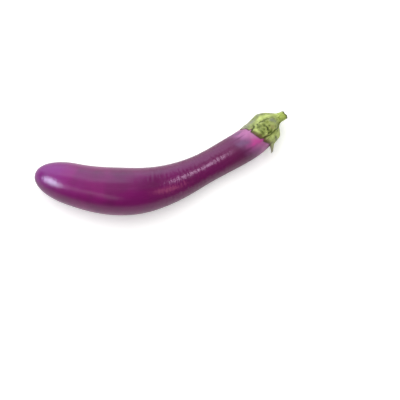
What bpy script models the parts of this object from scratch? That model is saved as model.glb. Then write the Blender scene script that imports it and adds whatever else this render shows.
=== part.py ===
"""A long purple eggplant lying on its side, with its calyx and a stub of stem.

The fruit is a bent, tapering body of round sections. Stations along it are distances from the blossom tip,
measured along its centreline. Angles around it start on the +Y side and pass over the top: 90 degrees is
straight up, 180 is the -Y side and 270 the underside. The whole object is centred over the origin, with
its flat underside on z = 0 and its blossom tip towards -X.
"""

import math

import bmesh
import bpy
from mathutils import Vector

MM = 0.001  # every size below is in millimetres, every mesh in metres

# Centreline, seen from above: heading in degrees, anticlockwise from +X
TIP_HEADING = -30.0
BODY_BEND = 44.8
BODY_BEND_SPAN = (30.0, 168.0)
CROWN_BEND = 18.0
CROWN_BEND_SPAN = (203.0, 237.0)
STEM_BEND = -17.5
STEM_BEND_SPAN = (241.0, 253.0)
CENTRELINE_STEP = 0.5

# Fruit: radius of its round sections
TIP_RADIUS = 19.1
BELLY_RADIUS = 22.6
NECK_RADIUS = 14.7
NECK_FLARE = 0.7
TIP_SWELL_SPAN = (15.0, 83.0)
TAPER_SPAN = (83.0, 175.0)
FLARE_SPAN = (175.0, 215.0)
CROWN_PINCH = 0.6
PINCH_SPAN = (216.0, 232.0)
TIP_DOME = 35.0
SHOULDER_STATION = 231.0
SHOULDER_DOME = 16.0
FRUIT_SEGMENTS = 40
FRUIT_DOME_RINGS = 8
SHOULDER_RINGS = 6
BODY_RING_SPACING = 7.0

# How the fruit lies: the weight flattens its underside, and the neck rises towards the stem
FLAT_DEPTH = 0.35
NECK_LIFT = 3.5
NECK_LIFT_SPAN = (165.0, 240.0)

# Calyx: a bell over the stem end, with an edge of five pointed lobes
CALYX_SHOULDER_SPAN = (239.5, 255.0)
SHOULDER_LEAN = 0.8
CALYX_TOP = 254.5
CALYX_EDGE_THICKNESS = 0.5
CALYX_SEGMENTS = 60
CALYX_RINGS = 10
# Corners of the lobed edge all the way round, each an angle and a station
EDGE_CORNERS = (
    (-20.0, 226.0),
    (24.0, 215.0),
    (48.0, 220.5),
    (60.0, 220.5),
    (66.0, 225.0),
    (72.0, 221.0),
    (114.0, 224.0),
    (120.0, 227.0),
    (128.0, 224.8),
    (160.0, 228.5),
    (186.0, 225.5),
    (205.0, 231.0),
    (238.0, 222.5),
    (270.0, 228.5),
    (302.0, 218.5),
    (340.0, 226.0),
)
# One lobe tip has sprung away from the skin
SPRUNG_TIP_ANGLE = 186.0
SPRUNG_TIP_HALF_WIDTH = 22.0
SPRUNG_TIP_SPAN = (226.0, 233.0)
SPRUNG_TIP_RISE = 5.5

# Stem: a stub of stalk, cut a little aslant
STEM_END = 261.2
STEM_BASE_RADIUS = 4.9
STEM_END_RADIUS = 4.5
STEM_SEGMENTS = 24
STEM_RINGS = 5
STEM_RIBS = 5
STEM_RIB_HEIGHT = 0.25
CUT_SLANT = -0.8

GAP = 0.35  # clear space between neighbouring pieces


def ease(value, span):
    """0 before the span, 1 after it, and a smooth rise between."""
    start, end = span
    t = min(max((value - start) / (end - start), 0.0), 1.0)
    return t * t * (3.0 - 2.0 * t)


def heading(station):
    turn = BODY_BEND * ease(station, BODY_BEND_SPAN)
    turn += CROWN_BEND * ease(station, CROWN_BEND_SPAN)
    turn += STEM_BEND * ease(station, STEM_BEND_SPAN)
    return math.radians(TIP_HEADING + turn)


def walk_centreline():
    """Points a fixed step apart along the centreline, seen from above."""
    points = [Vector((0.0, 0.0))]
    for step in range(math.ceil((STEM_END + 2.0 * abs(CUT_SLANT)) / CENTRELINE_STEP)):
        angle = heading((step + 0.5) * CENTRELINE_STEP)
        points.append(points[-1] + CENTRELINE_STEP * Vector((math.cos(angle), math.sin(angle))))
    return points


CENTRELINE = walk_centreline()


def body_radius(station):
    """Radius of the fruit before its ends are rounded off."""
    radius = TIP_RADIUS
    radius += (BELLY_RADIUS - TIP_RADIUS) * ease(station, TIP_SWELL_SPAN)
    radius += (NECK_RADIUS - BELLY_RADIUS) * ease(station, TAPER_SPAN)
    radius += NECK_FLARE * ease(station, FLARE_SPAN)
    radius -= CROWN_PINCH * ease(station, PINCH_SPAN)
    return radius


def dome(distance, depth):
    """Share of the full radius left at a distance into a dome."""
    return math.sqrt(max(0.0, 1.0 - (distance / depth) ** 2))


def centre_height(station):
    return body_radius(station) - FLAT_DEPTH + NECK_LIFT * ease(station, NECK_LIFT_SPAN)


def section_point(station, angle, radius):
    """Point of a round section that stands upright across the centreline, in metres."""
    place = min(station / CENTRELINE_STEP, len(CENTRELINE) - 1.001)
    index = int(place)
    centre = CENTRELINE[index].lerp(CENTRELINE[index + 1], place - index)
    facing = heading(station)
    across = radius * math.cos(math.radians(angle))
    x = centre.x - across * math.sin(facing)
    y = centre.y + across * math.cos(facing)
    z = centre_height(station) + radius * math.sin(math.radians(angle))
    return Vector((x, y, z)) * MM


def ring(mesh, station, radius, segments):
    angles = [360.0 * i / segments for i in range(segments)]
    return [mesh.verts.new(section_point(station, angle, radius)) for angle in angles]


def join_rings(mesh, first, second):
    count = len(first)
    for i in range(count):
        j = (i + 1) % count
        mesh.faces.new((first[i], first[j], second[j], second[i]))


def close_ring(mesh, loop, point):
    """Fan of triangles from a ring to one point."""
    tip = mesh.verts.new(point)
    for i in range(len(loop)):
        mesh.faces.new((loop[i], loop[(i + 1) % len(loop)], tip))


def finish(mesh, name, material, sharp_degrees):
    """Turn the faces outwards and make the named object."""
    bmesh.ops.recalc_face_normals(mesh, faces=mesh.faces[:])
    data = bpy.data.meshes.new(name)
    mesh.to_mesh(data)
    mesh.free()
    data.shade_smooth()
    data.set_sharp_from_angle(angle=math.radians(sharp_degrees))
    data.materials.append(material)
    piece = bpy.data.objects.new(name, data)
    bpy.context.collection.objects.link(piece)
    return piece


def plain_material(name, colour, roughness):
    material = bpy.data.materials.new(name)
    material.use_nodes = True
    shader = material.node_tree.nodes["Principled BSDF"]
    shader.inputs["Base Color"].default_value = (*colour, 1.0)
    shader.inputs["Roughness"].default_value = roughness
    shader.inputs["Metallic"].default_value = 0.0
    return material


def fruit_stations():
    """Stations of the fruit's rings, closer together on its domes."""
    stations = []
    for i in range(1, FRUIT_DOME_RINGS + 1):
        stations.append(TIP_DOME * (1.0 - math.cos(0.5 * math.pi * i / FRUIT_DOME_RINGS)))
    spans = round((SHOULDER_STATION - TIP_DOME) / BODY_RING_SPACING)
    for i in range(1, spans + 1):
        stations.append(TIP_DOME + (SHOULDER_STATION - TIP_DOME) * i / spans)
    for i in range(1, SHOULDER_RINGS):
        stations.append(SHOULDER_STATION + SHOULDER_DOME * math.sin(0.5 * math.pi * i / SHOULDER_RINGS))
    return stations


def fruit_radius(station):
    radius = body_radius(station)
    if station < TIP_DOME:
        radius *= dome(TIP_DOME - station, TIP_DOME)
    if station > SHOULDER_STATION:
        radius *= dome(station - SHOULDER_STATION, SHOULDER_DOME)
    return radius


def flatten_underside(mesh):
    for vert in mesh.verts:
        vert.co.z = max(vert.co.z, 0.0)


def make_fruit():
    """Glossy purple berry, solid from its blossom tip to its shoulder under the calyx."""
    mesh = bmesh.new()
    rings = [ring(mesh, s, fruit_radius(s), FRUIT_SEGMENTS) for s in fruit_stations()]
    for first, second in zip(rings, rings[1:]):
        join_rings(mesh, first, second)
    close_ring(mesh, rings[0], section_point(0.0, 0.0, 0.0))
    close_ring(mesh, rings[-1], section_point(SHOULDER_STATION + SHOULDER_DOME, 0.0, 0.0))
    flatten_underside(mesh)
    skin = plain_material("eggplant_skin", (0.16, 0.012, 0.09), 0.3)
    return finish(mesh, "fruit", skin, 60.0)


def calyx_edge(angle):
    """Station of the calyx edge at an angle: straight from corner to corner."""
    angle = (angle + 20.0) % 360.0 - 20.0
    for (start, low), (end, high) in zip(EDGE_CORNERS, EDGE_CORNERS[1:]):
        if angle <= end:
            return low + (high - low) * (angle - start) / (end - start)
    return EDGE_CORNERS[-1][1]


def sprung_tip(angle, station):
    """How far the sprung lobe tip stands off, largest at its point."""
    beside = max(0.0, 1.0 - abs(angle - SPRUNG_TIP_ANGLE) / SPRUNG_TIP_HALF_WIDTH)
    return SPRUNG_TIP_RISE * beside * (1.0 - ease(station, SPRUNG_TIP_SPAN))


def bell_radius(station, angle):
    """Bell that follows the fruit, then curves in over the shoulder, sooner on the -Y side."""
    wall = body_radius(station) + GAP + CALYX_EDGE_THICKNESS
    sooner = SHOULDER_LEAN * 0.5 * (1.0 - math.cos(math.radians(angle)))
    return wall + (STEM_BASE_RADIUS - wall) * ease(station + sooner, CALYX_SHOULDER_SPAN)


def calyx_outer_radius(station, angle):
    return bell_radius(station, angle) + sprung_tip(angle, station)


def calyx_inner_radius(station, angle):
    """The fruit's surface and a gap, with the dome grown by the same gap."""
    if station <= SHOULDER_STATION:
        lining = body_radius(station) + GAP
    else:
        depth = SHOULDER_DOME + GAP
        lining = (body_radius(station) + GAP) * dome(station - SHOULDER_STATION, depth)
    wall = calyx_outer_radius(station, angle) - CALYX_EDGE_THICKNESS
    standing_off = sprung_tip(angle, station) > 0.0
    return max(lining, wall) if standing_off else lining


def calyx_ring(mesh, share, last_station, radius_at):
    """Ring at a share of the way from the lobed edge to the last station."""
    loop = []
    for i in range(CALYX_SEGMENTS):
        angle = 360.0 * i / CALYX_SEGMENTS
        station = calyx_edge(angle) + (last_station - calyx_edge(angle)) * share
        loop.append(mesh.verts.new(section_point(station, angle, radius_at(station, angle))))
    return loop


def make_calyx():
    """Green cap of five lobes, a bell with the fruit's shoulder inside it."""
    mesh = bmesh.new()
    outer = []
    inner = []
    inner_top = SHOULDER_STATION + SHOULDER_DOME + GAP
    for i in range(CALYX_RINGS + 1):
        outer.append(calyx_ring(mesh, i / CALYX_RINGS, CALYX_TOP, calyx_outer_radius))
    for i in range(CALYX_RINGS):
        share = math.sin(0.5 * math.pi * i / CALYX_RINGS)
        inner.append(calyx_ring(mesh, share, inner_top, calyx_inner_radius))
    for wall in (outer, inner):
        for first, second in zip(wall, wall[1:]):
            join_rings(mesh, first, second)
    join_rings(mesh, outer[0], inner[0])
    close_ring(mesh, outer[-1], section_point(CALYX_TOP, 0.0, 0.0))
    close_ring(mesh, inner[-1], section_point(inner_top, 0.0, 0.0))
    green = plain_material("calyx_green", (0.42, 0.50, 0.10), 0.55)
    return finish(mesh, "calyx", green, 50.0)


def stem_station(share):
    """Station at a share of the way from the calyx to the cut."""
    return CALYX_TOP + GAP + (STEM_END - CALYX_TOP - GAP) * share


def stem_point(share, angle, radius):
    """Point of the stem, whose cut end leans across the centreline."""
    lean = CUT_SLANT * share * math.cos(math.radians(angle)) * radius / STEM_END_RADIUS
    return section_point(stem_station(share) + lean, angle, radius)


def stem_ring(mesh, share):
    loop = []
    for i in range(STEM_SEGMENTS):
        angle = 360.0 * i / STEM_SEGMENTS
        radius = bell_radius(stem_station(share), angle) + (STEM_END_RADIUS - STEM_BASE_RADIUS) * share
        radius += STEM_RIB_HEIGHT * (math.cos(math.radians(STEM_RIBS * angle)) - 1.0)
        loop.append(mesh.verts.new(stem_point(share, angle, radius)))
    return loop


def make_stem():
    """Stub of green stalk with low ribs and a flat cut end."""
    mesh = bmesh.new()
    rings = [stem_ring(mesh, i / STEM_RINGS) for i in range(STEM_RINGS + 1)]
    for first, second in zip(rings, rings[1:]):
        join_rings(mesh, first, second)
    close_ring(mesh, rings[0], stem_point(0.0, 0.0, 0.0))
    close_ring(mesh, rings[-1], stem_point(1.0, 0.0, 0.0))
    green = plain_material("stalk_green", (0.36, 0.46, 0.10), 0.6)
    return finish(mesh, "stem", green, 40.0)


def stand_over_origin(pieces):
    """Hang the pieces on one empty that centres them over the origin."""
    corners = [vert.co for piece in pieces for vert in piece.data.vertices]
    root = bpy.data.objects.new("eggplant", None)
    root.location.x = -0.5 * (min(c.x for c in corners) + max(c.x for c in corners))
    root.location.y = -0.5 * (min(c.y for c in corners) + max(c.y for c in corners))
    root.empty_display_size = 0.05
    bpy.context.collection.objects.link(root)
    for piece in pieces:
        piece.parent = root


for old in list(bpy.data.objects):
    bpy.data.objects.remove(old, do_unlink=True)

stand_over_origin([make_fruit(), make_calyx(), make_stem()])
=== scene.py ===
import math

import bpy
import numpy as np
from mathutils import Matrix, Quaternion, Vector, noise


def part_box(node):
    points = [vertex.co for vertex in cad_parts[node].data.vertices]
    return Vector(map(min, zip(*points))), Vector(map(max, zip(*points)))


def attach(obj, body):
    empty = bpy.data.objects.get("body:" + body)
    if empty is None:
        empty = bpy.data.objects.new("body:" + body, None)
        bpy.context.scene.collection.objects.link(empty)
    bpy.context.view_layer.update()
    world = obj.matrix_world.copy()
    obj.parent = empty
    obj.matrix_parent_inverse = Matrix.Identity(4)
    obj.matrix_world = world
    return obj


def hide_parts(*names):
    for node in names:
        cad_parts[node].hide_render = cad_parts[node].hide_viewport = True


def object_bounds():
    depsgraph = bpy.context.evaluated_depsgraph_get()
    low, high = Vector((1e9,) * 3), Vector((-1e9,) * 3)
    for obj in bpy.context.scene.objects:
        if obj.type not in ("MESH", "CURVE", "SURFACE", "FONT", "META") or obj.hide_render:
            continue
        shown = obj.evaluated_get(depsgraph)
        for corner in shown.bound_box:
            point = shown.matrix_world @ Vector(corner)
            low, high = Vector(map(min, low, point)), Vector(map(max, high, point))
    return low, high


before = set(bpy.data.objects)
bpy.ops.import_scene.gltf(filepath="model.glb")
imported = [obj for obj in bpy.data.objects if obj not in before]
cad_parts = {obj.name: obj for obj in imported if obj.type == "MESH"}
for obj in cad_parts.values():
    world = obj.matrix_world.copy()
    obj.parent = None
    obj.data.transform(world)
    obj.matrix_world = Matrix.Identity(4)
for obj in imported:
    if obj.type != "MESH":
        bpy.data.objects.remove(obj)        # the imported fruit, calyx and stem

mm = 0.001               # sizes are written in millimetres, meshes are in metres
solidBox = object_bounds()

# The spine runs from the blossom tip to the cut stem. A station is a distance along it, and a heading is
# its direction seen from above, in degrees anticlockwise from +X.
spine = {
    "length": 264.0,
    "step": 0.5,
    "tipHeading": -30.0,
    "bends": ((44.8, (30.0, 168.0)), (18.0, (203.0, 237.0)), (-17.5, (241.0, 253.0))),
    "lift": 3.5,                      # how far the neck rises off the table
    "liftSpan": (165.0, 240.0),
    "sunk": 0.35,                     # how deep the round underside is flattened
}

# Radius of the body along the spine
body = {
    "tip": 19.1,
    "belly": 22.6,
    "neck": 14.7,
    "flare": 0.7,
    "pinch": 0.6,
    "swellSpan": (15.0, 83.0),
    "taperSpan": (83.0, 175.0),
    "flareSpan": (175.0, 215.0),
    "pinchSpan": (216.0, 232.0),
    "tipDome": 35.0,
    "shoulder": 231.0,
    "shoulderDome": 16.0,
}


def ease(value, span):
    # 0 before the span, 1 after it, a smooth rise between
    t = np.clip((np.asarray(value, float) - span[0]) / (span[1] - span[0]), 0.0, 1.0)
    return t * t * (3.0 - 2.0 * t)


def bump(value, middle, width):
    # soft hump, 1 in the middle
    return np.exp(-(((value - middle) / width) ** 2))


def heading(station):
    degrees = spine["tipHeading"] + sum(turn * ease(station, span) for turn, span in spine["bends"])
    return np.radians(degrees)


def bodyRadius(station):
    radius = body["tip"] + (body["belly"] - body["tip"]) * ease(station, body["swellSpan"])
    radius = radius + (body["neck"] - body["belly"]) * ease(station, body["taperSpan"])
    radius = radius + body["flare"] * ease(station, body["flareSpan"])
    return radius - body["pinch"] * ease(station, body["pinchSpan"])


def fruitRadius(station):
    atTip = np.clip((body["tipDome"] - station) / body["tipDome"], 0.0, 1.0)
    atShoulder = np.clip((station - body["shoulder"]) / body["shoulderDome"], 0.0, 1.0)
    return bodyRadius(station) * np.sqrt((1.0 - atTip ** 2) * (1.0 - atShoulder ** 2))


def spineHeight(station):
    return bodyRadius(station) - spine["sunk"] + spine["lift"] * ease(station, spine["liftSpan"])


# The spine is walked in short steps, then moved so that the fruit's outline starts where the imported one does
stations = np.arange(0.0, spine["length"], spine["step"])
walk = heading(stations[:-1] + 0.5 * spine["step"])
line = np.zeros((len(stations), 2))
line[1:] = np.cumsum(np.stack([np.cos(walk), np.sin(walk)], 1), 0) * spine["step"]
inFruit = stations <= body["shoulder"] + body["shoulderDome"]
sideways = np.stack([np.abs(np.sin(heading(stations))), np.cos(heading(stations))], 1)
reach = sideways * fruitRadius(stations)[:, None]
outlineLow = (line - reach)[inFruit].min(0)
line += np.array(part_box("fruit")[0].xy) / mm - outlineLow


def spinePoint(station):
    return np.stack([np.interp(station, stations, line[:, 0]), np.interp(station, stations, line[:, 1])], -1)


def around(station, angle, radius):
    # Points in metres on upright rings across the spine. Angle 0 is the +Y side, 90 the top, 180 the -Y side.
    flat = spinePoint(station)
    turn = heading(station)
    across = radius * np.cos(np.radians(angle))
    x = flat[..., 0] - across * np.sin(turn)
    y = flat[..., 1] + across * np.cos(turn)
    z = spineHeight(station) + radius * np.sin(np.radians(angle))
    return np.stack([x, y, z], -1) * mm


def straighten(points):
    # Station, sideways and upward distance from the spine of each point, in millimetres
    flat = points[:, :2] / mm
    station = np.interp(flat[:, 0], line[:, 0], stations)
    for _ in range(10):               # each pass slides the stations closer to where they belong
        turn = heading(station)
        off = flat - spinePoint(station)
        station = np.clip(station + off[:, 0] * np.cos(turn) + off[:, 1] * np.sin(turn), 0.0, spine["length"])
    off = flat - spinePoint(station)
    side = off[:, 1] * np.cos(turn) - off[:, 0] * np.sin(turn)
    return np.stack([station, side, points[:, 2] / mm - spineHeight(station)], 1)


def angleOf(straight):
    return np.degrees(np.arctan2(straight[:, 2], straight[:, 1])) % 360.0


def unrolled(station, angle, radius):
    # The surface laid flat, in millimetres: along the spine, then round it at this radius
    return np.column_stack([station, np.radians(angle) * radius, np.zeros(len(angle))])


def readPoints(piece, what="co"):
    mesh = piece.data
    values = np.zeros(3 * len(mesh.vertices))
    source = mesh.vertices if what == "co" else mesh.vertex_normals
    source.foreach_get("co" if what == "co" else "vector", values)
    return values.reshape(-1, 3)


def writePoints(piece, points):
    piece.data.vertices.foreach_set("co", points.ravel())
    piece.data.update()


def pushOut(piece, height):
    # Works the surface in or out along its normals, in millimetres, as a sculpt brush does
    writePoints(piece, readPoints(piece) + readPoints(piece, "normal") * (height * mm)[:, None])


def paint(piece, name, values):
    # Keeps a mask or a direction on the mesh, where the piece's material reads it
    kind, key = ("FLOAT", "value") if values.ndim == 1 else ("FLOAT_VECTOR", "vector")
    piece.data.attributes.new(name, kind, "POINT").data.foreach_set(key, values.ravel())


def noiseAt(points, size, seed):
    # Smooth noise from -1 to 1 at each point; size is the width of its lumps, one number or one for each axis
    scaled = points / np.asarray(size) + seed
    return np.array([noise.noise(Vector(p)) for p in scaled])


def blots(angle, along, places, radius):
    # Soft painted places, 1 in the middle of each: an angle, a distance along, half a width and half a length
    strength = np.zeros(len(angle))
    for middle, distance, wide, long in places:
        away = ((angle - middle + 180.0) % 360.0 - 180.0) * math.radians(radius)
        strength = np.maximum(strength, bump(away, 0.0, wide) * bump(along, distance, long))
    return strength


def applyModifier(piece, kind, **settings):
    modifier = piece.modifiers.new(kind.title(), kind)
    for key, value in settings.items():
        setattr(modifier, key, value)
    bpy.context.view_layer.objects.active = piece
    bpy.ops.object.modifier_apply(modifier=modifier.name)


def ringCentre(station):
    return Vector(around(station, 0.0, 0.0))


def startRing(name, station, radius, segments):
    # A circle standing upright across the spine, left open and in edit mode
    bpy.ops.object.select_all(action="DESELECT")
    turn = (0.5 * math.pi, 0.0, float(heading(station)) + 0.5 * math.pi)
    bpy.ops.mesh.primitive_circle_add(vertices=segments, radius=radius * mm,
                                      location=ringCentre(station), rotation=turn)
    piece = bpy.context.active_object
    piece.name = name
    piece.data.name = name
    bpy.ops.object.transform_apply(location=True, rotation=True, scale=True)
    bpy.ops.object.mode_set(mode="EDIT")
    bpy.ops.mesh.select_all(action="SELECT")
    return piece


def growRing(start, end, ratio):
    # Extrudes the selected ring to the next station, turns it across the spine there and resizes it
    centre = ringCentre(end)
    bpy.ops.mesh.extrude_region_move(TRANSFORM_OT_translate={"value": centre - ringCentre(start)})
    turn = float(heading(end) - heading(start))
    bpy.ops.transform.rotate(value=-turn, orient_axis="Z", center_override=centre)
    bpy.ops.transform.resize(value=(ratio, ratio, ratio), center_override=centre)


def closeRing(start, end):
    # Extrudes the selected ring once more and gathers it in one point
    bpy.ops.mesh.extrude_region_move(TRANSFORM_OT_translate={"value": ringCentre(end) - ringCentre(start)})
    bpy.ops.mesh.merge(type="CENTER")


def selectOpenRing():
    bpy.ops.mesh.select_all(action="DESELECT")
    bpy.ops.mesh.select_non_manifold(extend=False, use_wire=False, use_multi_face=False,
                                     use_non_contiguous=False, use_verts=False)


def cageRadius(radius, segments):
    # Smoothing draws a ring of few corners inwards, so its cage is drawn this much wider
    return radius * 3.0 / (2.0 + math.cos(2.0 * math.pi / segments))


def linear(hexText):
    # sRGB hex to the linear colour that the nodes take
    channels = [int(hexText[i:i + 2], 16) / 255.0 for i in (1, 3, 5)]
    return tuple(c / 12.92 if c <= 0.04045 else ((c + 0.055) / 1.055) ** 2.4 for c in channels) + (1.0,)


def newMaterial(name):
    material = bpy.data.materials.new(name)
    material.use_nodes = True
    material.node_tree.nodes.clear()
    return material


def add(tree, kind, inputs=None, ramp=None, **settings):
    # Adds a node. An input is a value or another node's output socket; ramp lists (position, colour) stops.
    # A Mix takes its share at 0, numbers at 2 and 3 and colours at 6 and 7; its colour comes out at 2.
    node = tree.nodes.new("ShaderNode" + kind)
    for key, value in settings.items():
        setattr(node, key, value)
    for key, value in (inputs or {}).items():
        if isinstance(value, bpy.types.NodeSocket):
            tree.links.new(value, node.inputs[key])
        else:
            node.inputs[key].default_value = value
    if ramp:
        stops = node.color_ramp.elements
        while len(stops) < len(ramp):
            stops.new(0.5)
        for stop, (position, colour) in zip(stops, ramp):
            stop.position = position
            stop.color = linear(colour)
    return node


def layCoats(tree, colour, coats):
    # Lays coats over a colour, each a painted mask on the piece, its strength and its tint
    for name, strength, tint in coats:
        mask = add(tree, "Attribute", attribute_name=name)
        share = add(tree, "Math", {0: mask.outputs["Fac"], 1: strength}, operation="MULTIPLY")
        coat = add(tree, "Mix", {0: share.outputs[0], 6: colour, 7: linear(tint)}, data_type="RGBA")
        colour = coat.outputs[2]
    return colour


# Skin of the fruit: a ring-by-ring body with a blossom scar and faint growth ripples across it
skinWork = {
    "segments": 32,
    "tipRings": 9,
    "ringSpacing": 8.0,
    "shoulderRings": 5,
    "smoothing": 3,
    "lumpSize": 30.0, "lumpHeight": 0.22,
    "rippleSize": (3.6, 16.0, 16.0), "rippleHeight": 0.08,
    "rippleLeast": 0.2, "rippleRise": (95.0, 145.0),
    "rippleLoss": 0.85, "rippleFall": (176.0, 206.0),
    "scarRadius": 2.4, "scarDepth": 0.45,
    "nubRadius": 0.8, "nubHeight": 0.7,       # the nub in the scar, its height a share of the depth
    # painted places on the young skin: angle, distance from the calyx, half width and half length
    # glow is pale pink young skin with painted lilac highlights on it, just under the calyx
    "glow": ((64.0, 6.0, 4.5, 5.5), (88.0, 2.0, 3.5, 2.5), (52.0, 9.0, 2.0, 5.0), (150.0, 4.0, 3.0, 3.0),
             (250.0, 5.0, 4.0, 4.0), (350.0, 5.0, 3.0, 4.0)),
    "blush": ((116.0, 8.0, 2.6, 5.0), (113.0, 3.5, 3.6, 3.5), (122.0, 3.5, 2.6, 3.0),
              (196.0, 6.0, 3.0, 5.0), (282.0, 7.0, 2.5, 4.0)),
    "bloom": ((89.0, 14.0, 3.0, 5.0), (97.0, 11.0, 2.2, 4.5), (42.0, 9.0, 1.6, 5.0),
              (222.0, 12.0, 3.0, 5.0), (310.0, 13.0, 3.0, 5.0)),
    "strayAngle": 9.0, "strayLength": 3.0, "straySize": 6.0,     # how far their outlines wander
    # what they are painted with: a strength and a tint, one coat over another
    "coats": (("glow", 0.85, "#C274AB"), ("bloom", 0.8, "#7C5480"), ("blush", 0.9, "#CE489E")),
    # ripe skin from the blossom end to the neck, and young skin from the calyx outwards
    "ripeTones": ((0.0, "#881E86"), (0.15, "#8A1674"), (0.28, "#87126C"), (0.38, "#781060"),
                  (0.46, "#77105F"), (0.55, "#6F1257"), (0.75, "#6B1850"), (1.0, "#6E2458")),
    "youngTones": ((0.0, "#B87CA4"), (0.2, "#B06699"), (0.38, "#98558B"), (0.6, "#874779"),
                   (0.85, "#763868")),
    # the third tint is painted shadow, for the dark line on the skin under the calyx's edge
    "cloudTint": "#4E1640", "streakTint": "#9A4F92", "calyxShadowTint": "#5A2A3C", "scarTint": "#8A6A45",
}


def skinStations():
    # Rings stand closer where the blossom end and the shoulder round off
    dome, shoulder = body["tipDome"], body["shoulder"]
    tipRings, shoulderRings = skinWork["tipRings"], skinWork["shoulderRings"]
    tip = [dome * (1.0 - math.cos(0.5 * math.pi * i / tipRings)) for i in range(1, tipRings + 1)]
    spans = round((shoulder - dome) / skinWork["ringSpacing"])
    middle = [dome + (shoulder - dome) * i / spans for i in range(1, spans + 1)]
    top = [shoulder + body["shoulderDome"] * math.sin(0.5 * math.pi * i / shoulderRings)
           for i in range(1, shoulderRings)]
    return tip + middle + top


def rippling(station):
    # Ripples grow towards the neck and all but end before the calyx
    least = skinWork["rippleLeast"]
    rise = least + (1.0 - least) * ease(station, skinWork["rippleRise"])
    return rise * (1.0 - skinWork["rippleLoss"] * ease(station, skinWork["rippleFall"]))


def makeSkin():
    rings = skinStations()
    segments = skinWork["segments"]
    piece = startRing("fruitSkin", rings[0], cageRadius(float(fruitRadius(rings[0])), segments), segments)
    closeRing(rings[0], 0.0)
    selectOpenRing()
    for start, end in zip(rings, rings[1:]):
        growRing(start, end, float(fruitRadius(end) / fruitRadius(start)))
    closeRing(rings[-1], body["shoulder"] + body["shoulderDome"])
    bpy.ops.mesh.select_all(action="SELECT")
    bpy.ops.mesh.normals_make_consistent(inside=False)
    bpy.ops.object.mode_set(mode="OBJECT")
    applyModifier(piece, "SUBSURF", levels=skinWork["smoothing"], render_levels=skinWork["smoothing"])

    straight = straighten(readPoints(piece))
    lumps = noiseAt(straight, skinWork["lumpSize"], seed=4.0) * skinWork["lumpHeight"]
    ripples = noiseAt(straight, skinWork["rippleSize"], seed=11.0) * skinWork["rippleHeight"]
    ripples *= rippling(straight[:, 0])
    fromTip = np.linalg.norm(straight, axis=1)
    nub = skinWork["nubHeight"] * bump(fromTip, 0.0, skinWork["nubRadius"])
    scar = nub - bump(fromTip, 0.0, skinWork["scarRadius"])
    pushOut(piece, lumps + ripples + skinWork["scarDepth"] * scar)

    flattenUnderside(piece)
    piece.data.shade_smooth()
    straight = straighten(readPoints(piece))
    angle = angleOf(straight)
    below = calyxEdge(angle) - straight[:, 0]
    paint(piece, "straight", straight * mm)
    paint(piece, "belowCalyx", below)
    paint(piece, "rippling", rippling(straight[:, 0]))
    loose = angle + skinWork["strayAngle"] * noiseAt(straight, skinWork["straySize"], seed=21.0)
    looseBelow = below + skinWork["strayLength"] * noiseAt(straight, skinWork["straySize"], seed=27.0)
    for name, _, _ in skinWork["coats"]:
        paint(piece, name, blots(loose, looseBelow, skinWork[name], body["neck"]))
    return piece


def flattenUnderside(piece):
    # The strip that the weight rests on: everything under the table's level is scaled up to it
    bpy.ops.object.select_all(action="DESELECT")
    bpy.context.view_layer.objects.active = piece
    bpy.ops.object.mode_set(mode="EDIT")
    bpy.ops.mesh.select_all(action="DESELECT")
    bpy.ops.object.mode_set(mode="OBJECT")
    below = readPoints(piece)[:, 2] < 0.0
    piece.data.vertices.foreach_set("select", below)
    bpy.ops.object.mode_set(mode="EDIT")
    bpy.ops.transform.resize(value=(1.0, 1.0, 0.0), center_override=(0.0, 0.0, 0.0))
    bpy.ops.object.mode_set(mode="OBJECT")


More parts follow.
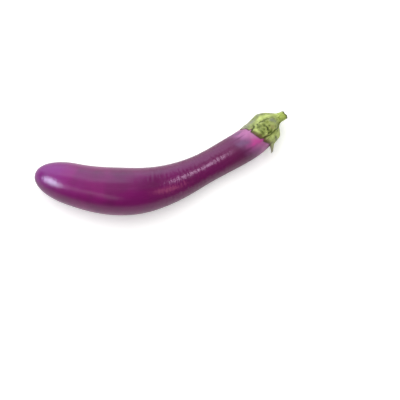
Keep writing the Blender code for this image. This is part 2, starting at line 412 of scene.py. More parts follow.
def skinMaterial():
    # Waxed skin of a ripe fruit: a glossy cuticle over purple pigment that thins to pink under the calyx
    material = newMaterial("waxedEggplantSkin")
    tree = material.node_tree
    place = add(tree, "Attribute", attribute_name="straight").outputs["Vector"]
    below = add(tree, "Attribute", attribute_name="belowCalyx").outputs["Fac"]
    axes = add(tree, "SeparateXYZ", {"Vector": place})
    # the ripe tone runs along the fruit, in patches that wander
    along = add(tree, "MapRange", {"Value": axes.outputs["X"], "From Max": 0.25})
    wander = add(tree, "TexNoise", {"Vector": place, "Scale": 28.0, "Detail": 3.0})
    shift = add(tree, "MapRange", {"Value": wander.outputs["Fac"], "To Min": -0.2, "To Max": 0.2})
    shifted = add(tree, "Math", {0: along.outputs[0], 1: shift.outputs[0]}, operation="ADD")
    tone = add(tree, "ValToRGB", {"Fac": shifted.outputs[0]}, ramp=skinWork["ripeTones"])
    # deeper clouds of pigment, about 25 mm across
    clouds = add(tree, "TexNoise", {"Vector": place, "Scale": 40.0, "Detail": 2.0})
    cloudy = add(tree, "MapRange", {"Value": clouds.outputs["Fac"], "From Min": 0.45, "From Max": 0.7,
                                    "To Max": 0.45})
    deep = add(tree, "Mix", {0: cloudy.outputs[0], 6: tone.outputs["Color"],
                             7: linear(skinWork["cloudTint"])}, data_type="RGBA")
    # fine lengthwise streaks, 0.8 mm wide and some 30 mm long
    stretched = add(tree, "Mapping", {"Vector": place, "Scale": (30.0, 1200.0, 1200.0)})
    streaks = add(tree, "TexNoise", {"Vector": stretched.outputs[0], "Scale": 1.0, "Detail": 2.0})
    streaky = add(tree, "MapRange", {"Value": streaks.outputs["Fac"], "From Min": 0.5, "From Max": 0.8,
                                     "To Max": 0.1})
    streaked = add(tree, "Mix", {0: streaky.outputs[0], 6: deep.outputs[2],
                                 7: linear(skinWork["streakTint"])}, data_type="RGBA")
    # the young skin next to the calyx: whole for 9 mm, then gone unevenly by 24 mm
    uneven = add(tree, "TexNoise", {"Vector": place, "Scale": 110.0, "Detail": 3.0})
    shift = add(tree, "MapRange", {"Value": uneven.outputs["Fac"], "To Min": -6.0, "To Max": 6.0})
    reach = add(tree, "Math", {0: below, 1: shift.outputs[0]}, operation="ADD")
    across = add(tree, "MapRange", {"Value": reach.outputs[0], "From Max": 24.0})
    pinks = add(tree, "ValToRGB", {"Fac": across.outputs[0]}, ramp=skinWork["youngTones"])
    young = add(tree, "MapRange", {"Value": reach.outputs[0], "From Min": 24.0, "From Max": 9.0},
                interpolation_type="SMOOTHSTEP")
    paled = add(tree, "Mix", {0: young.outputs[0], 6: streaked.outputs[2], 7: pinks.outputs["Color"]},
                data_type="RGBA")
    # the painted places go on; glow carries painted highlights as well as pale young skin
    colour = layCoats(tree, paled.outputs[2], skinWork["coats"])
    # painted shadow: a dark line on the skin just under the calyx's edge, where the calyx shades it
    calyxShadow = add(tree, "MapRange", {"Value": below, "From Min": 0.9, "From Max": 0.2, "To Max": 0.7})
    calyxShadowed = add(tree, "Mix", {0: calyxShadow.outputs[0], 6: colour, 7: linear(skinWork["calyxShadowTint"])},
                  data_type="RGBA")
    # corky scar where the flower stood
    fromTip = add(tree, "VectorMath", {0: place}, operation="LENGTH")
    scar = add(tree, "MapRange", {"Value": fromTip.outputs["Value"], "From Min": 0.0026,
                                  "From Max": 0.0014})
    final = add(tree, "Mix", {0: scar.outputs[0], 6: calyxShadowed.outputs[2], 7: linear(skinWork["scarTint"])},
                data_type="RGBA")

    # ripples 2 mm apart and some 9 mm long run across the fruit, under pores half a millimetre apart
    squeezed = add(tree, "Mapping", {"Vector": place, "Scale": (480.0, 115.0, 115.0)})
    ripples = add(tree, "TexNoise", {"Vector": squeezed.outputs[0], "Scale": 1.0, "Detail": 1.0})
    pores = add(tree, "TexNoise", {"Vector": place, "Scale": 2200.0, "Detail": 1.0})
    grown = add(tree, "Attribute", attribute_name="rippling").outputs["Fac"]
    crests = add(tree, "Math", {0: ripples.outputs["Fac"], 1: grown}, operation="MULTIPLY")
    low = add(tree, "Bump", {"Height": crests.outputs[0], "Strength": 1.0, "Distance": 0.0006})
    fine = add(tree, "Bump", {"Height": pores.outputs["Fac"], "Strength": 0.12, "Distance": 0.0001,
                              "Normal": low.outputs[0]})
    # the upper neck and the young skin have less wax
    bare = add(tree, "MapRange", {"Value": axes.outputs["X"], "From Min": 0.182, "From Max": 0.204,
                                  "To Min": 0.28, "To Max": 0.4})
    shader = add(tree, "BsdfPrincipled", {
        "Base Color": final.outputs[2],
        "Roughness": bare.outputs[0],
        "IOR": 1.47,
        "Normal": fine.outputs[0],
    })
    add(tree, "OutputMaterial", {"Surface": shader.outputs[0]})
    return material


# Calyx: a cap of five pointed lobes. Places on it are an angle round the fruit and a station.
calyxWork = {
    "top": 256.5,
    "shoulderSpan": (239.5, 255.0),
    "shoulderLean": 0.8,              # the -Y side turns in to the stem this much sooner
    "stemRadius": 4.9,
    "sink": 1.2, "sinkSpan": (253.5, 256.5),   # its last millimetres run in under the bark of the stem
    "standOff": 0.85,                 # outer face to the skin, thinner over the first millimetres
    "edgeStandOff": 0.5, "thinSpan": (0.0, 5.0),
    # the lobed edge, once round until it closes
    "edge": ((-20.0, 226.0), (24.0, 215.0), (48.0, 220.5), (62.0, 220.7), (65.5, 224.5), (69.5, 221.0),
             (114.0, 224.0), (120.0, 227.0), (128.0, 224.8), (160.0, 228.5), (186.0, 225.5), (205.0, 231.0),
             (238.0, 222.5), (270.0, 228.5), (302.0, 218.5), (340.0, 226.0)),
    "columnWidth": 3.75,              # in degrees
    "rows": 20,
    "weld": 0.02,
    "thickness": 0.75,
    "smoothing": 2,
    "sprungAngle": 186.0, "sprungHalfWidth": 22.0, "sprungSpan": (226.0, 233.0), "sprungRise": 5.5,
    # midribs from the stem to each lobe's tip
    "ribs": (((58.0, 253.0), (66.0, 246.0), (62.0, 239.0), (48.0, 229.0), (26.0, 216.0)),
             ((122.0, 252.0), (108.0, 243.0), (100.0, 235.0), (94.0, 224.0)),
             ((178.0, 250.0), (172.0, 240.0), (186.0, 226.0)),
             ((236.0, 252.0), (238.0, 223.0)),
             ((304.0, 252.0), (302.0, 219.0))),
    "ribHeight": 0.4, "ribWidth": 1.6, "ribLoss": 0.6,    # the share of it lost in the crown
    # the line where one lobe overlaps the next, a groove with a step on one side
    # the seam is painted dark too: painted shade in the groove under the overlapping lobe
    "seam": ((119.0, 227.5), (123.0, 230.0), (128.0, 232.8), (129.0, 236.0), (128.0, 239.5), (135.0, 243.0),
             (145.0, 247.5), (156.0, 252.5)),
    "seamWidth": 0.7, "seamDepth": 0.5,
    "stepHeight": 0.45, "stepWidth": 3.5, "stepSpan": (0.0, 0.8),
    # grooves and cracks, each a width and a path
    "cracks": ((0.65, ((64.0, 227.5), (68.0, 225.0), (72.0, 222.0))),
               (1.15, ((67.0, 231.0), (67.0, 231.3))),
               (0.7, ((69.0, 234.3), (74.0, 237.5))),
               (0.85, ((98.0, 235.8), (107.0, 235.0), (109.0, 234.6))),
               (0.75, ((118.0, 233.4), (117.0, 232.8))),
               (0.5, ((214.0, 234.0), (222.0, 230.0))),
               (0.6, ((262.0, 241.0), (259.0, 236.5))),
               (0.5, ((284.0, 232.0), (290.0, 227.5))),
               (0.6, ((328.0, 239.0), (331.0, 235.0)))),
    "crackDepth": 0.4,
    # wrinkles run along the leaf; they and the lumps die out at its edge and in the crown
    "sheetRadius": 15.0,              # where the leaf is measured round
    "wrinkleSize": (7.0, 1.1), "wrinkleHeight": 0.09,
    "lumpSize": 4.5, "lumpHeight": 0.2,
    "calmSpan": (0.0, 4.0), "calmLoss": 0.9,
    "crownSpan": (246.0, 254.0),      # where the leaf smooths out towards the stem
    "barkSpan": (249.0, 254.0),       # where its colour turns to bark
    # painted places: angle, station, half width round the fruit and half length along it
    # pale places are partly pale leaf and partly painted light on the shaded lobe, the first rib and the top
    "paleAndLit": ((66.0, 244.0, 2.0, 5.0), (58.0, 252.5, 2.4, 3.0), (56.0, 238.0, 2.0, 3.0),
             (141.0, 233.5, 3.0, 3.0), (156.0, 237.0, 4.5, 6.0), (84.0, 254.5, 2.6, 2.0),
             (104.0, 232.4, 0.9, 0.8), (114.0, 231.0, 0.6, 1.6), (176.0, 245.0, 3.4, 4.0),
             (150.0, 240.0, 3.2, 4.0), (82.0, 226.6, 1.8, 1.0), (66.0, 231.0, 1.2, 2.0),
             (240.0, 238.0, 1.5, 5.0), (302.0, 236.0, 1.4, 6.0)),
    "olive": ((76.0, 239.8, 1.0, 2.6), (97.0, 232.2, 1.4, 1.4), (101.0, 238.3, 0.8, 1.3),
              (99.0, 229.0, 3.2, 1.7), (80.0, 230.5, 1.6, 2.0), (88.0, 235.0, 1.6, 1.3),
              (98.0, 253.8, 1.1, 1.3), (154.0, 236.0, 2.0, 1.2), (137.0, 240.5, 0.7, 1.4),
              (166.0, 247.5, 0.9, 1.1), (118.0, 255.0, 1.6, 1.8), (120.0, 235.0, 1.4, 1.8),
              (252.0, 233.0, 1.8, 3.0), (222.0, 240.0, 1.2, 2.5), (316.0, 230.0, 1.6, 2.0),
              (288.0, 238.0, 1.2, 2.6)),
    "grey": ((94.0, 245.5, 2.4, 2.6), (108.0, 246.5, 1.4, 2.6), (90.0, 243.0, 1.3, 1.2),
             (168.0, 235.8, 2.4, 1.6), (34.0, 240.0, 2.0, 3.0), (38.0, 230.0, 3.4, 5.5),
             (38.0, 221.0, 4.0, 6.5), (272.0, 243.0, 2.0, 2.4)),
    "papery": ((186.0, 226.5, 5.0, 5.0), (36.0, 217.5, 4.0, 3.0), (30.0, 226.0, 2.0, 5.0),
               (234.0, 223.5, 3.5, 1.2), (300.0, 219.5, 3.5, 1.2)),
    "tan": ((112.0, 239.5, 2.2, 2.2), (60.0, 223.6, 1.1, 1.8), (116.0, 230.6, 1.2, 1.4),
            (126.0, 227.6, 1.8, 1.6), (146.0, 229.5, 3.0, 1.6), (230.0, 229.0, 2.0, 1.8),
            (296.0, 223.0, 2.0, 1.8)),
    "paintRadius": 13.0,
    "strayAngle": 4.0, "strayLength": 0.6, "straySize": 1.7,     # how far their outlines wander
    # how far the browning reaches in from the lobed edge, at each angle
    "driedReach": ((0.0, 1.2), (52.0, 1.0), (74.0, 2.2), (92.0, 4.6), (112.0, 5.4), (128.0, 3.6),
                   (148.0, 3.6), (176.0, 1.6), (238.0, 3.0), (270.0, 1.2), (302.0, 3.4), (360.0, 1.2)),
    "driedFade": (0.3, 1.15), "driedRagged": 0.5, "raggedSize": 2.2,
    # fresh leaf from its dark mottles to its pale ones, and the coats over it, each a strength and a tint
    "leafTones": ((0.36, "#5C6A26"), (0.46, "#93A04C"), (0.55, "#B0BD69"), (0.66, "#CCD88A")),
    # the pale coat is partly painted light
    "coats": (("rib", 0.55, "#C2D270"), ("tan", 0.8, "#A9A268"), ("paleAndLit", 0.9, "#DAEA8A"),
              ("grey", 0.9, "#8E927C"), ("olive", 0.95, "#4E5A18"), ("dried", 0.9, "#5E472E"),
              # the seam coat is painted shade
              ("papery", 0.9, "#A8A28E"), ("seam", 0.9, "#4A5216"), ("dark", 1.0, "#262B08")),
    "speckTint": "#4E5A20",
}


def calyxEdge(angle):
    angles, ends = np.array(calyxWork["edge"]).T
    return np.interp((np.asarray(angle) - angles[0]) % 360.0 + angles[0], angles, ends)


def calyxRadius(station, angle):
    # Follows the fruit, thins at its edge, turns in to the stem at the top; one tip has sprung off the skin
    least = calyxWork["edgeStandOff"]
    fromEdge = station - calyxEdge(angle)
    standOff = least + (calyxWork["standOff"] - least) * ease(fromEdge, calyxWork["thinSpan"])
    wall = bodyRadius(station) + standOff
    sooner = calyxWork["shoulderLean"] * 0.5 * (1.0 - np.cos(np.radians(angle)))
    bell = wall + (calyxWork["stemRadius"] - wall) * ease(station + sooner, calyxWork["shoulderSpan"])
    bell = bell - calyxWork["sink"] * ease(station, calyxWork["sinkSpan"])
    beside = np.clip(1.0 - np.abs(angle - calyxWork["sprungAngle"]) / calyxWork["sprungHalfWidth"], 0.0, 1.0)
    return bell + calyxWork["sprungRise"] * beside * (1.0 - ease(station, calyxWork["sprungSpan"]))


def pathDistance(angle, station, path):
    # Distance in millimetres over the surface to a path of (angle, station) points, and the side of it
    nearest = np.full(len(angle), 1e6)
    side = np.ones(len(angle))
    for (a0, s0), (a1, s1) in zip(path, path[1:]):
        perDegree = math.radians(1.0) * float(calyxRadius(0.5 * (s0 + s1), 0.5 * (a0 + a1)))
        p = np.stack([(angle - a0) * perDegree, station - s0], 1)
        d = np.array([(a1 - a0) * perDegree, s1 - s0])
        share = np.clip(p @ d / (d @ d), 0.0, 1.0)
        gap = np.linalg.norm(p - share[:, None] * d, axis=1)
        closer = gap < nearest
        side = np.where(closer, np.sign(p[:, 0] * d[1] - p[:, 1] * d[0]), side)
        nearest = np.where(closer, gap, nearest)
    return nearest, side


def columnAngles():
    # Columns fall on every corner of the edge and are about evenly spaced between
    corners = [a for a, _ in calyxWork["edge"]]
    angles = []
    for start, end in zip(corners, corners[1:]):
        count = max(1, round((end - start) / calyxWork["columnWidth"]))
        angles += [start + (end - start) * i / count for i in range(count)]
    return np.array(angles + [corners[-1]])


def makeCalyx():
    angles = columnAngles()
    bpy.ops.object.select_all(action="DESELECT")
    bpy.ops.mesh.primitive_grid_add(x_subdivisions=len(angles) - 1, y_subdivisions=calyxWork["rows"],
                                    size=1.0)
    piece = bpy.context.active_object
    piece.name = "calyxCap"
    piece.data.name = "calyxCap"

    # The flat sheet is laid round the fruit, its lower side on the lobed edge
    flat = readPoints(piece)
    angle = angles[np.rint((flat[:, 0] + 0.5) * (len(angles) - 1)).astype(int)]
    edge = calyxEdge(angle)
    station = edge + (calyxWork["top"] - edge) * (flat[:, 1] + 0.5)
    writePoints(piece, around(station, angle, calyxRadius(station, angle % 360.0)))
    bpy.ops.object.mode_set(mode="EDIT")
    bpy.ops.mesh.select_all(action="SELECT")
    bpy.ops.mesh.remove_doubles(threshold=calyxWork["weld"] * mm)
    bpy.ops.mesh.normals_make_consistent(inside=False)
    bpy.ops.object.mode_set(mode="OBJECT")
    applyModifier(piece, "SOLIDIFY", thickness=calyxWork["thickness"] * mm, offset=-1.0, use_even_offset=True)
    applyModifier(piece, "SUBSURF", levels=calyxWork["smoothing"], render_levels=calyxWork["smoothing"])
    workCalyx(piece)
    piece.data.shade_smooth()
    return piece


def workCalyx(piece):
    # Ribs, the overlap seam, cracks and wrinkles, on the outer face only
    straight = straighten(readPoints(piece))
    angle = angleOf(straight)
    station = straight[:, 0]
    facing = np.radians(angle)
    turn = heading(station)
    outward = np.stack([-np.cos(facing) * np.sin(turn), np.cos(facing) * np.cos(turn), np.sin(facing)], 1)
    # 1 on the outer face, 0 on the inner one
    outer = ease((readPoints(piece, "normal") * outward).sum(1), (0.0, 0.5))
    inCrown = ease(station, calyxWork["crownSpan"])
    fromEdge = station - calyxEdge(angle)
    # what is painted wanders a little, so that nothing has a drawn outline
    loose = angle + calyxWork["strayAngle"] * noiseAt(straight, calyxWork["straySize"], seed=9.0)
    looseStation = station + calyxWork["strayLength"] * noiseAt(straight, calyxWork["straySize"], seed=13.0)

    rib = np.zeros(len(angle))
    for path in calyxWork["ribs"]:
        away, _ = pathDistance(angle, station, path)
        rib = np.maximum(rib, bump(away, 0.0, calyxWork["ribWidth"]))
    seamAway, seamSide = pathDistance(angle, station, calyxWork["seam"])
    seam = bump(seamAway, 0.0, calyxWork["seamWidth"])
    step = np.where(seamSide > 0.0, calyxWork["stepHeight"], 0.0)
    step = step * bump(seamAway, 0.0, calyxWork["stepWidth"]) * ease(seamAway, calyxWork["stepSpan"])
    cracks = np.zeros(len(angle))
    for width, path in calyxWork["cracks"]:
        away, _ = pathDistance(loose, looseStation, path)
        cracks = np.maximum(cracks, bump(away, 0.0, width))

    sheet = unrolled(station, angle, calyxWork["sheetRadius"])
    wrinkles = calyxWork["wrinkleHeight"] * noiseAt(sheet, (*calyxWork["wrinkleSize"], 1.0), seed=3.0)
    lumps = calyxWork["lumpHeight"] * noiseAt(straight, calyxWork["lumpSize"], seed=7.0)
    height = calyxWork["ribHeight"] * rib * (1.0 - calyxWork["ribLoss"] * inCrown) + step
    height = height - calyxWork["seamDepth"] * seam - calyxWork["crackDepth"] * cracks
    relief = (wrinkles + lumps) * ease(fromEdge, calyxWork["calmSpan"])
    height += relief * (1.0 - calyxWork["calmLoss"] * inCrown)
    pushOut(piece, height * outer)

    ragged = calyxWork["driedRagged"] * noiseAt(straight, calyxWork["raggedSize"], seed=17.0)
    reachAngles, reaches = np.array(calyxWork["driedReach"]).T
    reach = np.interp(angle, reachAngles, reaches) * (1.0 + ragged)
    paint(piece, "straight", straighten(readPoints(piece)) * mm)
    paint(piece, "sheet", sheet * mm)
    paint(piece, "rib", rib)
    paint(piece, "dark", cracks)
    # painted shade along the seam's groove
    paint(piece, "seam", seam)
    paint(piece, "crown", ease(station, calyxWork["barkSpan"]))
    paint(piece, "dried", 1.0 - ease(fromEdge / reach, calyxWork["driedFade"]))
    # the pale places carry painted light as well as pale leaf
    for name in ("paleAndLit", "olive", "grey", "tan", "papery"):
        paint(piece, name, blots(loose, looseStation, calyxWork[name], calyxWork["paintRadius"]))


def calyxMaterial():
    # Leathery green sepals: matt, mottled and veined, yellow along the ribs, grey where the skin is rubbed
    # and brown where they have dried
    material = newMaterial("calyxLeaf")
    tree = material.node_tree
    place = add(tree, "Attribute", attribute_name="straight").outputs["Vector"]
    sheet = add(tree, "Attribute", attribute_name="sheet").outputs["Vector"]
    # mottles about 3 mm across, over veins 1 mm apart that run to the tips
    mottle = add(tree, "TexNoise", {"Vector": place, "Scale": 330.0, "Detail": 4.0, "Roughness": 0.6})
    stretched = add(tree, "Mapping", {"Vector": sheet, "Scale": (170.0, 1000.0, 1.0)})
    veins = add(tree, "TexNoise", {"Vector": stretched.outputs[0], "Scale": 1.0, "Detail": 2.0})
    both = add(tree, "Mix", {0: 0.35, 2: mottle.outputs["Fac"], 3: veins.outputs["Fac"]})
    leaf = add(tree, "ValToRGB", {"Fac": both.outputs[0]}, ramp=calyxWork["leafTones"])
    # its crown turns into the bark of the stem
    crown = add(tree, "Attribute", attribute_name="crown").outputs["Fac"]
    bark = barkColour(tree, place)
    joined = add(tree, "Mix", {0: crown, 6: leaf.outputs["Color"], 7: bark.outputs["Color"]},
                 data_type="RGBA")
    colour = layCoats(tree, joined.outputs[2], calyxWork["coats"])
    # specks under a millimetre
    specks = add(tree, "TexNoise", {"Vector": place, "Scale": 1300.0, "Detail": 2.0})
    speckled = add(tree, "MapRange", {"Value": specks.outputs["Fac"], "From Min": 0.56, "From Max": 0.72,
                                      "To Max": 0.4})
    final = add(tree, "Mix", {0: speckled.outputs[0], 6: colour, 7: linear(calyxWork["speckTint"])},
                data_type="RGBA")
    relief = add(tree, "Bump", {"Height": both.outputs[0], "Strength": 0.6, "Distance": 0.0005})
    grain = add(tree, "Bump", {"Height": specks.outputs["Fac"], "Strength": 0.5, "Distance": 0.00015,
                               "Normal": relief.outputs[0]})
    shader = add(tree, "BsdfPrincipled", {
        "Base Color": final.outputs[2],
        "Roughness": 0.55,
        "IOR": 1.45,
        "Normal": grain.outputs[0],
    })
    add(tree, "OutputMaterial", {"Surface": shader.outputs[0]})
    return material


# Stem: a short ribbed stub with a cut face
stemWork = {
    "start": 250.0,
    "end": 260.8,
    "endRadius": 4.5, "taperShare": (0.3, 1.0),
    "rootInset": 2.6, "rootSpan": (250.0, 254.5),    # thinner where it starts, inside the calyx
    "segments": 30,
    "rings": 9,
    "smoothing": 2,
    # cut face: a rounded rim, a slightly sunken bark ring and the pith inside it; each ring's width as a
    # share of the last one, and its step inwards
    "cutRings": ((0.93, -0.4), (0.86, 0.0), (0.8, 0.25), (0.45, 0.15), (0.2, 0.1)),
    "ribCount": 5, "ribPhase": 54.0, "ribHeight": 0.3, "ribSpan": (254.0, 257.5),
    "fibreRadius": 4.0, "fibreSize": (6.0, 0.7), "fibreHeight": 0.06,
    "sideSpan": (2.0, 3.4),           # from the axis: the cut face's middle and its side
    "cutSlant": -0.8, "slantSpan": (256.0, 261.0),
    "browned": (258.7, 260.3), "brownedRagged": 0.5, "raggedSize": 1.5,
    "pithShare": (0.5, 0.72),
    "barkTones": ((0.3, "#8B9C3A"), (0.5, "#B4C560"), (0.75, "#D2E286")),
    "brownedTint": "#525A20", "pithTint": "#C8BE8C",
}


def stemRadius(station):
    share = (station - stemWork["start"]) / (stemWork["end"] - stemWork["start"])
    taper = (stemWork["endRadius"] - calyxWork["stemRadius"]) * ease(share, stemWork["taperShare"])
    inset = stemWork["rootInset"] * (1.0 - ease(station, stemWork["rootSpan"]))
    return float(calyxWork["stemRadius"] + taper - inset)


def makeStem():
    rings = list(np.linspace(stemWork["start"], stemWork["end"], stemWork["rings"]))
    segments = stemWork["segments"]
    piece = startRing("cutStem", rings[0], cageRadius(stemRadius(rings[0]), segments), segments)
    closeRing(rings[0], rings[0])
    selectOpenRing()
    for start, end in zip(rings, rings[1:]):
        growRing(start, end, stemRadius(end) / stemRadius(start))
    centre = ringCentre(rings[-1])
    inwards = centre - ringCentre(rings[-1] + 1.0)   # a millimetre back along the stem
    for ratio, sink in stemWork["cutRings"]:
        bpy.ops.mesh.extrude_region_move(TRANSFORM_OT_translate={"value": inwards * sink})
        bpy.ops.transform.resize(value=(ratio,) * 3, center_override=centre)
    bpy.ops.mesh.merge(type="CENTER")
    bpy.ops.mesh.select_all(action="SELECT")
    bpy.ops.mesh.normals_make_consistent(inside=False)
    bpy.ops.object.mode_set(mode="OBJECT")
    applyModifier(piece, "SUBSURF", levels=stemWork["smoothing"], render_levels=stemWork["smoothing"])
    workStem(piece)
    piece.data.shade_smooth()
    return piece


def workStem(piece):
    # Ribs and fibres on the side, and a cut that leans across the stem
    straight = straighten(readPoints(piece))
    station = straight[:, 0]
    angle = angleOf(straight)
    fromAxis = np.hypot(straight[:, 1], straight[:, 2])
    wave = np.cos(np.radians(stemWork["ribCount"] * (angle - stemWork["ribPhase"])))
    ribs = stemWork["ribHeight"] * (wave - 1.0)
    sheet = unrolled(station, angle, stemWork["fibreRadius"])
    fibres = stemWork["fibreHeight"] * noiseAt(sheet, (*stemWork["fibreSize"], 1.0), seed=5.0)
    height = ribs * ease(station, stemWork["ribSpan"]) + fibres
    pushOut(piece, height * ease(fromAxis, stemWork["sideSpan"]))

    points = readPoints(piece)
    slant = stemWork["cutSlant"] * ease(station, stemWork["slantSpan"])
    lean = slant * straight[:, 1] / stemWork["endRadius"]
    turn = heading(station)
    points[:, 0] += lean * np.cos(turn) * mm
    points[:, 1] += lean * np.sin(turn) * mm
    writePoints(piece, points)

    ragged = stemWork["brownedRagged"] * noiseAt(straight, stemWork["raggedSize"], seed=31.0)
    atEnd = ease(station + ragged, stemWork["browned"])
    paint(piece, "straight", straight * mm)
    paint(piece, "cut", atEnd)
    paint(piece, "pith", atEnd * (1.0 - ease(fromAxis / stemWork["endRadius"], stemWork["pithShare"])))


def barkColour(tree, place):
    # Green bark with fibres about a millimetre apart that run along it; the leaf runs over into it
    stretched = add(tree, "Mapping", {"Vector": place, "Scale": (160.0, 900.0, 900.0)})
    fibres = add(tree, "TexNoise", {"Vector": stretched.outputs[0], "Scale": 1.0, "Detail": 3.0})
    return add(tree, "ValToRGB", {"Fac": fibres.outputs["Fac"]}, ramp=stemWork["barkTones"])


def stemMaterial():
    # Fresh stalk: matt green with lengthwise fibres, browned where it was cut, with pale pith in the cut face
    material = newMaterial("freshStalk")
    tree = material.node_tree
    place = add(tree, "Attribute", attribute_name="straight").outputs["Vector"]
    bark = barkColour(tree, place)
    fibres = bark.inputs["Fac"].links[0].from_node
    cut = add(tree, "Attribute", attribute_name="cut").outputs["Fac"]
    rimmed = add(tree, "Mix", {0: cut, 6: bark.outputs["Color"], 7: linear(stemWork["brownedTint"])},
                 data_type="RGBA")
    pith = add(tree, "Attribute", attribute_name="pith").outputs["Fac"]
    faced = add(tree, "Mix", {0: pith, 6: rimmed.outputs[2], 7: linear(stemWork["pithTint"])},
                data_type="RGBA")
    relief = add(tree, "Bump", {"Height": fibres.outputs["Fac"], "Strength": 0.5, "Distance": 0.0002})
    shader = add(tree, "BsdfPrincipled", {
        "Base Color": faced.outputs[2],
        "Roughness": 0.55,
        "IOR": 1.45,
        "Normal": relief.outputs[0],
    })
    add(tree, "OutputMaterial", {"Surface": shader.outputs[0]})
    return material


# The set: a pale floor under soft light
studio = {
    "cameraAzimuth": -14.1, "cameraElevation": 78.0, "cameraDistance": 1.05, "lens": 100.0,
    "aim": (23.0, -33.7, -8.2),       # from the middle of the object's box, in millimetres
    "floorSize": 8.0, "floorTone": "#EEEEEC",
    "floorGlow": 0.2,                 # what the fruit gets back from it
    "floorGlowSeen": 0.44, "floorGlowFar": 0.85, "glowSpan": (0.4, 2.0),    # what the eye sees, in metres
    "skyForCamera": 0.95, "skyForGloss": 0.03, "skyForDiffuse": 0.25,
}

# Each light is a rectangle, (width, height), turned to its target or else to the floor's middle. Places are
# in metres from that middle. Brightness 1 mirrors as bright as white paper.
lights = {
    # this one lights the set and stays out of the gloss
    "softFill": {"place": (-0.15, 0.42, 1.6), "size": (1.8, 1.8), "brightness": 2.8, "tint": "#FFFFFF"},
    # these show only in the gloss
    "lowPanel": {"place": (0.36, 1.43, 0.226), "target": (0.06, 0.23, -0.444), "size": (4.0, 0.51),
                 "brightness": 2.1, "tint": "#DDF2FF"},
    "tallPanel": {"place": (-0.61, 1.28, 0.934), "target": (-0.91, 0.08, 0.264), "size": (2.2, 1.1),
                  "brightness": 2.25, "tint": "#E0E8FF"},
    "tipCard": {"place": (-0.174, 0.016, 0.072), "target": (-0.116, 0.014, 0.026), "size": (0.068, 0.052),
                "spread": 50.0, "brightness": 28.0, "tint": "#DAF6FF"},
    "neckCard": {"place": (0.043, -0.009, 0.08), "target": (0.043, -0.009, 0.0), "size": (0.019, 0.02),
                 "roll": 10.0, "brightness": 11.5, "tint": "#F6E8FF"},
    "warmCard": {"place": (0.02, -0.05, 0.069), "target": (-0.003, -0.021, 0.037), "size": (0.02, 0.036),
                 "roll": 13.0, "brightness": 4.0, "tint": "#FFA8B0"},
    "frontStrip": {"place": (-0.69, -0.62, 1.05), "size": (1.0, 0.13), "roll": -12.0, "brightness": 3.5,
                   "tint": "#FFFFFF"},
}


def makeCamera():
    low, high = solidBox
    azimuth = math.radians(studio["cameraAzimuth"])
    elevation = math.radians(studio["cameraElevation"])
    level = math.cos(elevation)
    forward = Vector((-math.sin(azimuth) * level, math.cos(azimuth) * level, -math.sin(elevation)))
    target = 0.5 * (low + high) + Vector(studio["aim"]) * mm
    camera = bpy.data.objects.new("camera", bpy.data.cameras.new("camera"))
    bpy.context.collection.objects.link(camera)
    camera.location = target - forward * studio["cameraDistance"]
    camera.rotation_euler = forward.to_track_quat("-Z", "Y").to_euler()
    camera.data.lens = studio["lens"]
    camera.data.clip_start = 0.01
    bpy.context.scene.camera = camera


def hangLight(name, light):
    lamp = bpy.data.objects.new(name, bpy.data.lights.new(name, "AREA"))
    width, height = light["size"]
    lamp.data.shape = "RECTANGLE"
    lamp.data.size, lamp.data.size_y = width, height
    # a narrow spread works like a grid on the lamp, and would brighten it too, so its energy is brought down
    lamp.data.spread = math.radians(light.get("spread", 180.0))
    gathered = 1.0 - 0.5 * lamp.data.spread / math.tan(0.5 * lamp.data.spread)
    lamp.data.energy = light["brightness"] * math.pi * width * height * gathered
    lamp.data.color = linear(light["tint"])[:3]
    bpy.context.collection.objects.link(lamp)
    lamp.location = light["place"]
    facing = Vector(light.get("target", (0.0, 0.0, 0.0))) - Vector(light["place"])
    roll = Quaternion((0.0, 0.0, 1.0), math.radians(light.get("roll", 0.0)))
    lamp.rotation_euler = (facing.to_track_quat("-Z", "Y") @ roll).to_euler()
    onlyGloss = name != "softFill"
    lamp.visible_camera = False
    lamp.visible_glossy = onlyGloss
    lamp.visible_diffuse = not onlyGloss


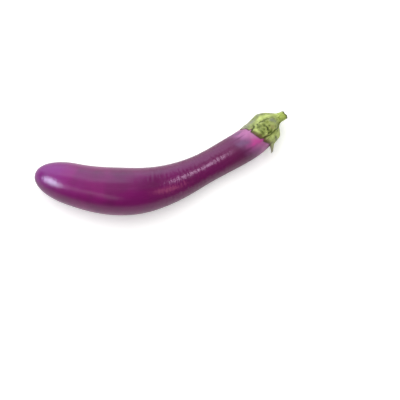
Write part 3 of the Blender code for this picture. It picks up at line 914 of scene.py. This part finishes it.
def makeStudio():
    for name, light in lights.items():
        hangLight(name, light)

    bpy.ops.mesh.primitive_plane_add(size=studio["floorSize"])
    floor = bpy.context.active_object
    floor.name = "floor"
    # the floor is a little overexposed to the eye, but not in the fruit's gloss, and stays white far out
    material = newMaterial("paleFloor")
    tree = material.node_tree
    seen = add(tree, "LightPath").outputs["Is Camera Ray"]
    place = add(tree, "TexCoord").outputs["Object"]
    away = add(tree, "VectorMath", {0: place}, operation="LENGTH")
    near, far = studio["glowSpan"]
    bright = add(tree, "MapRange", {"Value": away.outputs["Value"], "From Min": near, "From Max": far,
                                    "To Min": studio["floorGlowSeen"], "To Max": studio["floorGlowFar"]})
    glow = add(tree, "Mix", {0: seen, 2: studio["floorGlow"], 3: bright.outputs[0]})
    shader = add(tree, "BsdfPrincipled", {
        "Base Color": linear(studio["floorTone"]),
        "Roughness": 0.9,
        "Emission Color": (1.0, 1.0, 1.0, 1.0),
        "Emission Strength": glow.outputs[0],
    })
    add(tree, "OutputMaterial", {"Surface": shader.outputs[0]})
    floor.data.materials.append(material)

    world = bpy.data.worlds.new("softRoom")
    bpy.context.scene.world = world
    world.use_nodes = True
    tree = world.node_tree
    tree.nodes.clear()
    ray = add(tree, "LightPath")
    glossy, toCamera = ray.outputs["Is Glossy Ray"], ray.outputs["Is Camera Ray"]
    gloss = add(tree, "Mix", {0: glossy, 2: studio["skyForDiffuse"], 3: studio["skyForGloss"]})
    seen = add(tree, "Mix", {0: toCamera, 2: gloss.outputs[0], 3: studio["skyForCamera"]})
    sky = add(tree, "Background", {"Color": (1.0, 1.0, 1.0, 1.0), "Strength": seen.outputs[0]})
    add(tree, "OutputWorld", {"Surface": sky.outputs[0]})
    bpy.context.scene.view_settings.view_transform = "Standard"
    print("studio ready:", len(lights), "lights")


def dress(piece, material, node):
    piece.data.materials.clear()
    piece.data.materials.append(material)
    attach(piece, "root")
    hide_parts(node)
    print(piece.name, "ready:", len(piece.data.vertices), "points")


makeCamera()
makeStudio()
dress(makeSkin(), skinMaterial(), "fruit")
dress(makeCalyx(), calyxMaterial(), "calyx")
dress(makeStem(), stemMaterial(), "stem")
